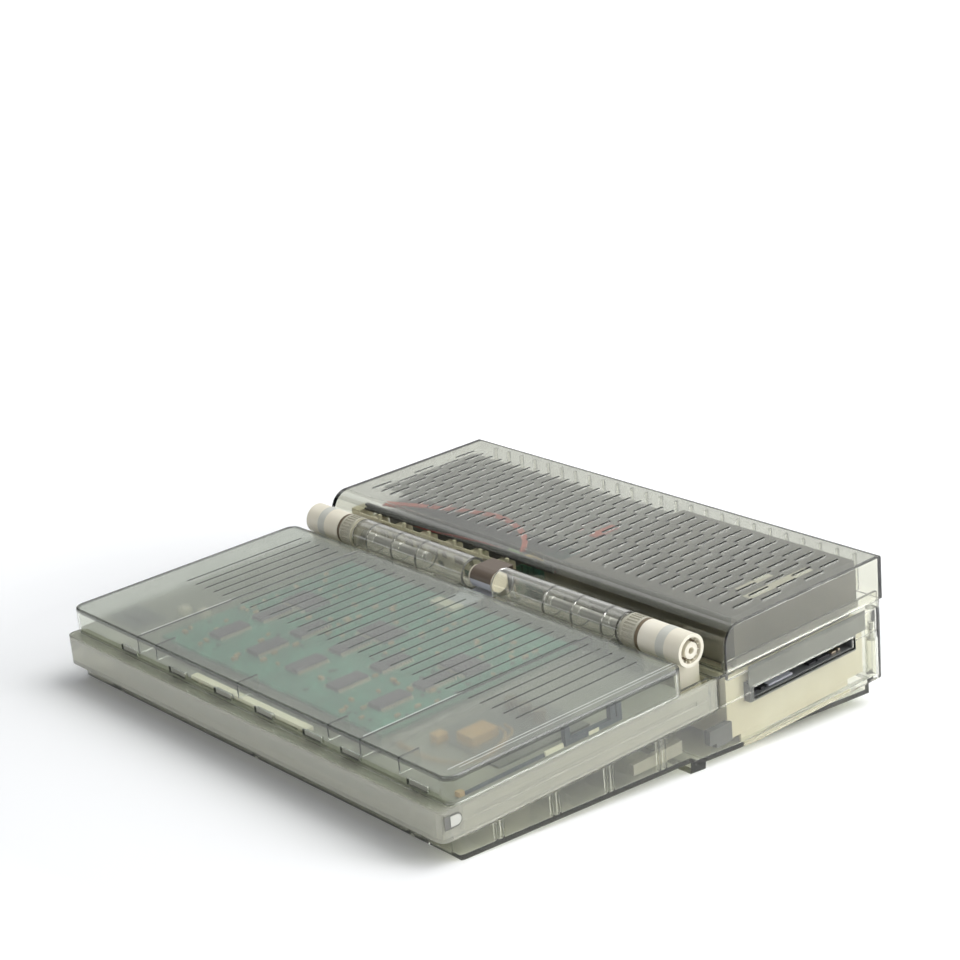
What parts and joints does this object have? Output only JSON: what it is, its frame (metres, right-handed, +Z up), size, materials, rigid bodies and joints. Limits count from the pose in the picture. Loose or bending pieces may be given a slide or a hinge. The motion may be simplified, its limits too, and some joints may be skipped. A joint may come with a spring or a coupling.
{
  "type": "luggable computer",
  "caption": "Luggable computer in a clear case, closed: grooved lid on a fat barrel hinge, sliding U handle, slotted rear cover and side disk slot.",
  "frame": {"origin": "middle of the foot print's bounding box, on the surface that the computer stands on", "axes": "+X to the right as the user sits, +Y towards the back, +Z up; the lid slopes up towards the back by 6 degrees"},
  "size_m": [0.387, 0.3776, 0.1025],
  "materials": {
    "clear_case": "clear, faintly grey-green, polished",
    "clear_lid": "clear, faintly grey-green, polished",
    "clear_cream": "clear with a cream tint, polished",
    "ivory": "fine matt moulding",
    "keycap": "fine matt moulding",
    "dark_plastic": "matt",
    "board": "coated glass-fibre board",
    "chip": "dull moulded",
    "ribbon": "satin film",
    "wire": "satin sleeve",
    "steel": "plated sheet",
    "aluminium": "cast and satin",
    "rubber": "matt",
    "ball": "polished",
    "glass": "coated, grey",
    "battery_case": "fine matt moulding",
    "socket": "plated shells"
  },
  "bodies": {
    "base": {"bottom_case": "clear_case", "upper_case": "clear_case", "feet": "rubber", "case_screws": "steel", "handle_guides": "ivory", "board_cable": "ribbon", "cable_drum": "ivory", "hinge_caps": "ivory", "hinge_rods": "steel", "hinge_brackets": "ivory", "keyboard_frame": "ivory", "switch_plate": "steel", "keyboard_board": "board", "key_switches": "dark_plastic", "letter_keys": "keycap", "trackball_housing": "ivory", "trackball_ring": "ivory", "logic_board": "board", "logic_chips": "chip", "speaker": "dark_plastic", "inner_frame": "ivory", "floppy_drive": "aluminium", "floppy_bezel": "dark_plastic", "hard_disk": "aluminium", "battery": "battery_case", "backup_battery": "battery_case", "power_board": "board", "power_parts": "chip", "memory_card": "board", "modem_card": "board", "drive_harness": "wire", "port_board": "board", "port_sockets": "socket"},
    "lid": {"lid_shell": "clear_lid", "lid_bezel": "ivory", "lid_bracket": "dark_plastic", "lcd_panel": "glass", "lcd_frame": "steel", "driver_board": "board", "driver_chips": "chip", "display_cable": "ribbon", "hinge_sleeves": "clear_lid", "hinge_rings": "ivory"},
    "catch": {"latch_bar": "ivory"},
    "handle": {"handle": "clear_cream"},
    "rear_cover": {"rear_cover": "clear_case"},
    "ball": {"trackball": "ball"},
    "roller_front": {"encoder_roller_front": "steel"},
    "roller_side": {"encoder_roller_side": "steel"},
    "button_front": {"trackball_button_front": "keycap"},
    "button_rear": {"trackball_button_rear": "keycap"},
    "option_key": {"option_key": "keycap"},
    "command_key": {"command_key": "keycap"},
    "space_bar": {"space_bar": "keycap"},
    "shift_key_left": {"shift_key_left": "keycap"},
    "shift_key_right": {"shift_key_right": "keycap"},
    "caps_lock_key": {"caps_lock_key": "keycap"},
    "return_key": {"return_key": "keycap"},
    "tab_key": {"tab_key": "keycap"},
    "delete_key": {"delete_key": "keycap"}
  },
  "joints": [
    {"name": "lid_hinge", "type": "hinge", "parent": "base", "child": "lid", "pos_m": [0, 0.01622, 0.07489], "axis": [-1, 0, 0], "range_deg": [0, 120]},
    {"name": "catch_slide", "type": "slide", "parent": "lid", "child": "catch", "axis": [1, 0, 0], "range_m": [0, 0.0025]},
    {"name": "handle_slide", "type": "slide", "parent": "base", "child": "handle", "axis": [0, -0.9945, -0.1045], "range_m": [0, 0.0254]},
    {"name": "rear_cover_lift", "type": "slide", "parent": "base", "child": "rear_cover", "axis": [0, -0.1045, 0.9945], "range_m": [0, 0.032]},
    {"name": "ball_spin", "type": "hinge", "parent": "base", "child": "ball", "pos_m": [0.145, -0.10635, 0.02611], "axis": [1, 0, 0], "continuous": true},
    {"name": "front_roller_spin", "type": "hinge", "parent": "base", "child": "roller_front", "pos_m": [0.145, -0.08865, 0.02797], "axis": [1, 0, 0], "continuous": true},
    {"name": "side_roller_spin", "type": "hinge", "parent": "base", "child": "roller_side", "pos_m": [0.1272, -0.10635, 0.02611], "axis": [0, 0.9945, 0.1045], "continuous": true},
    {"name": "button_front_press", "type": "slide", "parent": "base", "child": "button_front", "axis": [0, 0.1045, -0.9945], "range_m": [0, 0.0015], "stiffness_N_per_m": 800, "springref_m": -0.0005},
    {"name": "button_rear_press", "type": "slide", "parent": "base", "child": "button_rear", "axis": [0, 0.1045, -0.9945], "range_m": [0, 0.0015], "stiffness_N_per_m": 800, "springref_m": -0.0005},
    {"name": "option_key_press", "type": "slide", "parent": "base", "child": "option_key", "axis": [0, 0.1045, -0.9945], "range_m": [0, 0.0035], "stiffness_N_per_m": 150, "springref_m": -0.001},
    {"name": "command_key_press", "type": "slide", "parent": "base", "child": "command_key", "axis": [0, 0.1045, -0.9945], "range_m": [0, 0.0035], "stiffness_N_per_m": 150, "springref_m": -0.001},
    {"name": "space_bar_press", "type": "slide", "parent": "base", "child": "space_bar", "axis": [0, 0.1045, -0.9945], "range_m": [0, 0.0035], "stiffness_N_per_m": 150, "springref_m": -0.001},
    {"name": "shift_key_left_press", "type": "slide", "parent": "base", "child": "shift_key_left", "axis": [0, 0.1045, -0.9945], "range_m": [0, 0.0035], "stiffness_N_per_m": 150, "springref_m": -0.001},
    {"name": "shift_key_right_press", "type": "slide", "parent": "base", "child": "shift_key_right", "axis": [0, 0.1045, -0.9945], "range_m": [0, 0.0035], "stiffness_N_per_m": 150, "springref_m": -0.001},
    {"name": "caps_lock_key_press", "type": "slide", "parent": "base", "child": "caps_lock_key", "axis": [0, 0.1045, -0.9945], "range_m": [0, 0.0035], "stiffness_N_per_m": 150, "springref_m": -0.001},
    {"name": "return_key_press", "type": "slide", "parent": "base", "child": "return_key", "axis": [0, 0.1045, -0.9945], "range_m": [0, 0.0035], "stiffness_N_per_m": 150, "springref_m": -0.001},
    {"name": "tab_key_press", "type": "slide", "parent": "base", "child": "tab_key", "axis": [0, 0.1045, -0.9945], "range_m": [0, 0.0035], "stiffness_N_per_m": 150, "springref_m": -0.001},
    {"name": "delete_key_press", "type": "slide", "parent": "base", "child": "delete_key", "axis": [0, 0.1045, -0.9945], "range_m": [0, 0.0035], "stiffness_N_per_m": 150, "springref_m": -0.001}
  ],
  "couplings": [
    {"joint": "front_roller_spin", "follows": "ball_spin", "ratio": -6}
  ]
}
